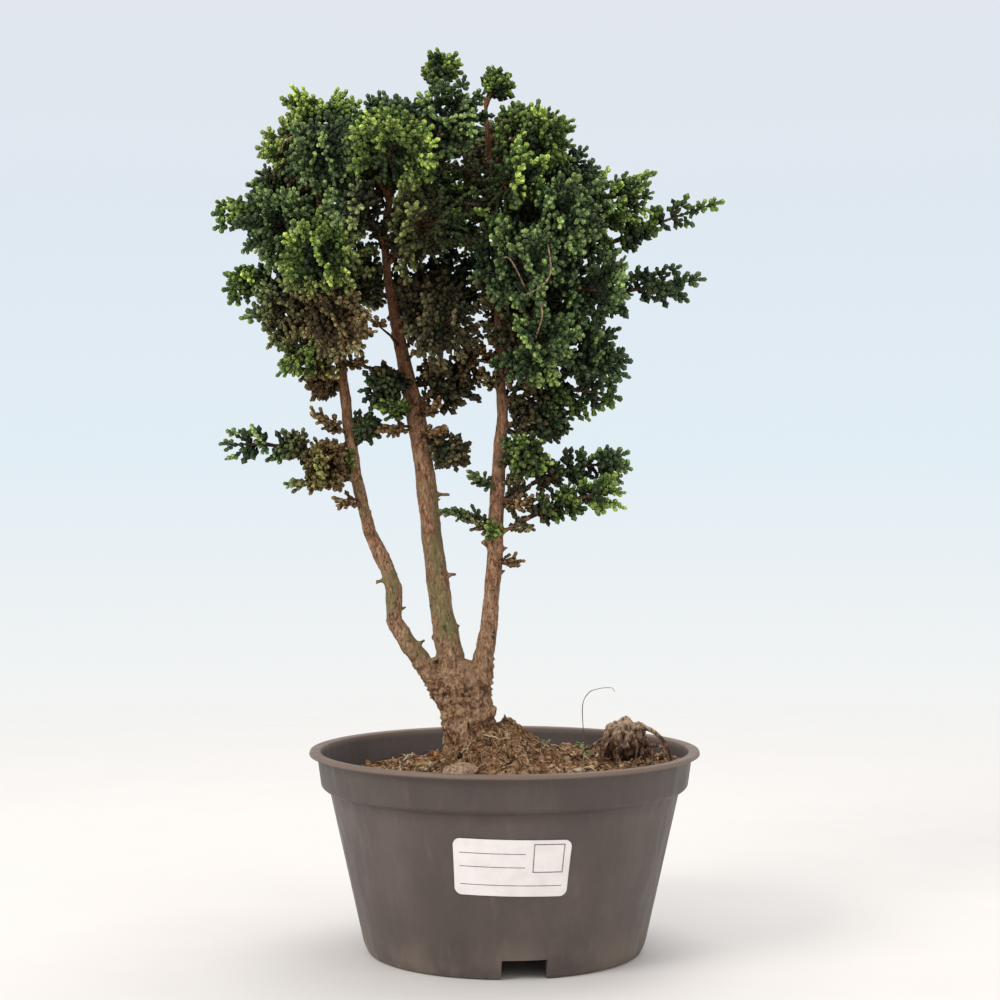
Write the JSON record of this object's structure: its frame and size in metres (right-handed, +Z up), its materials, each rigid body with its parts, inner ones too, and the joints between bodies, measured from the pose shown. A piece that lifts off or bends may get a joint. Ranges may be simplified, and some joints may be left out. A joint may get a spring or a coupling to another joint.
{
  "type": "hinoki cypress bonsai",
  "caption": "Three-stemmed dwarf hinoki cypress bonsai with shell-shaped sprays of scale leaves, growing in a low round plastic training pot.",
  "frame": {"origin": "on the pot's axis, at the level that the pot stands on", "axes": "+Z up, -Y towards the viewer of the picture, +X to the viewer's right"},
  "size_m": [0.2337, 0.18, 0.4121],
  "materials": {
    "pot": "dark grey, dusty and scuffed",
    "label": "off-white, matte",
    "soil": "brown fibrous potting mix",
    "bark": "fibrous bark, green-grey moss in places",
    "root_bark": "dry fibrous root bark",
    "stone": "dull grey-brown",
    "bark_chip": "dry orange-brown",
    "foliage_fresh": "yellow-green scale leaves",
    "foliage_dark": "dark green scale leaves",
    "foliage_old": "olive to brown old scale leaves"
  },
  "bodies": {
    "root": {"bark_chip": "bark_chip", "label": "label", "pot": "pot", "root_clump": "root_bark", "soil": "soil", "spray_left_01": "foliage_fresh", "spray_left_02": "foliage_fresh", "spray_left_03": "foliage_dark", "spray_left_04": "foliage_fresh", "spray_left_05": "foliage_fresh", "spray_left_06": "foliage_dark", "spray_left_07": "foliage_fresh", "spray_left_08": "foliage_old", "spray_left_09": "foliage_dark", "spray_left_10": "foliage_dark", "spray_left_11": "foliage_fresh", "spray_left_12": "foliage_old", "spray_left_13": "foliage_dark", "spray_left_14": "foliage_fresh", "spray_left_15": "foliage_dark", "spray_left_16": "foliage_dark", "spray_left_17": "foliage_fresh", "spray_left_18": "foliage_dark", "spray_middle_19": "foliage_fresh", "spray_middle_20": "foliage_dark", "spray_middle_21": "foliage_fresh", "spray_middle_22": "foliage_fresh", "spray_middle_23": "foliage_dark", "spray_middle_24": "foliage_dark", "spray_middle_25": "foliage_fresh", "spray_middle_26": "foliage_old", "spray_middle_27": "foliage_dark", "spray_middle_28": "foliage_old", "spray_middle_29": "foliage_old", "spray_middle_30": "foliage_dark", "spray_middle_31": "foliage_fresh", "spray_middle_32": "foliage_dark", "spray_right_33": "foliage_fresh", "spray_right_34": "foliage_fresh", "spray_right_35": "foliage_fresh", "spray_right_36": "foliage_dark", "spray_right_37": "foliage_fresh", "spray_right_38": "foliage_fresh", "spray_right_39": "foliage_dark", "spray_right_40": "foliage_fresh", "spray_right_41": "foliage_dark", "spray_right_42": "foliage_dark", "spray_right_43": "foliage_dark", "spray_right_44": "foliage_fresh", "spray_right_45": "foliage_dark", "spray_right_46": "foliage_fresh", "spray_right_47": "foliage_dark", "spray_right_48": "foliage_fresh", "spray_right_49": "foliage_dark", "spray_right_50": "foliage_fresh", "spray_right_51": "foliage_dark", "spray_right_52": "foliage_fresh", "spray_right_53": "foliage_dark", "stone": "stone", "wood": "bark"}
  },
  "joints": []
}
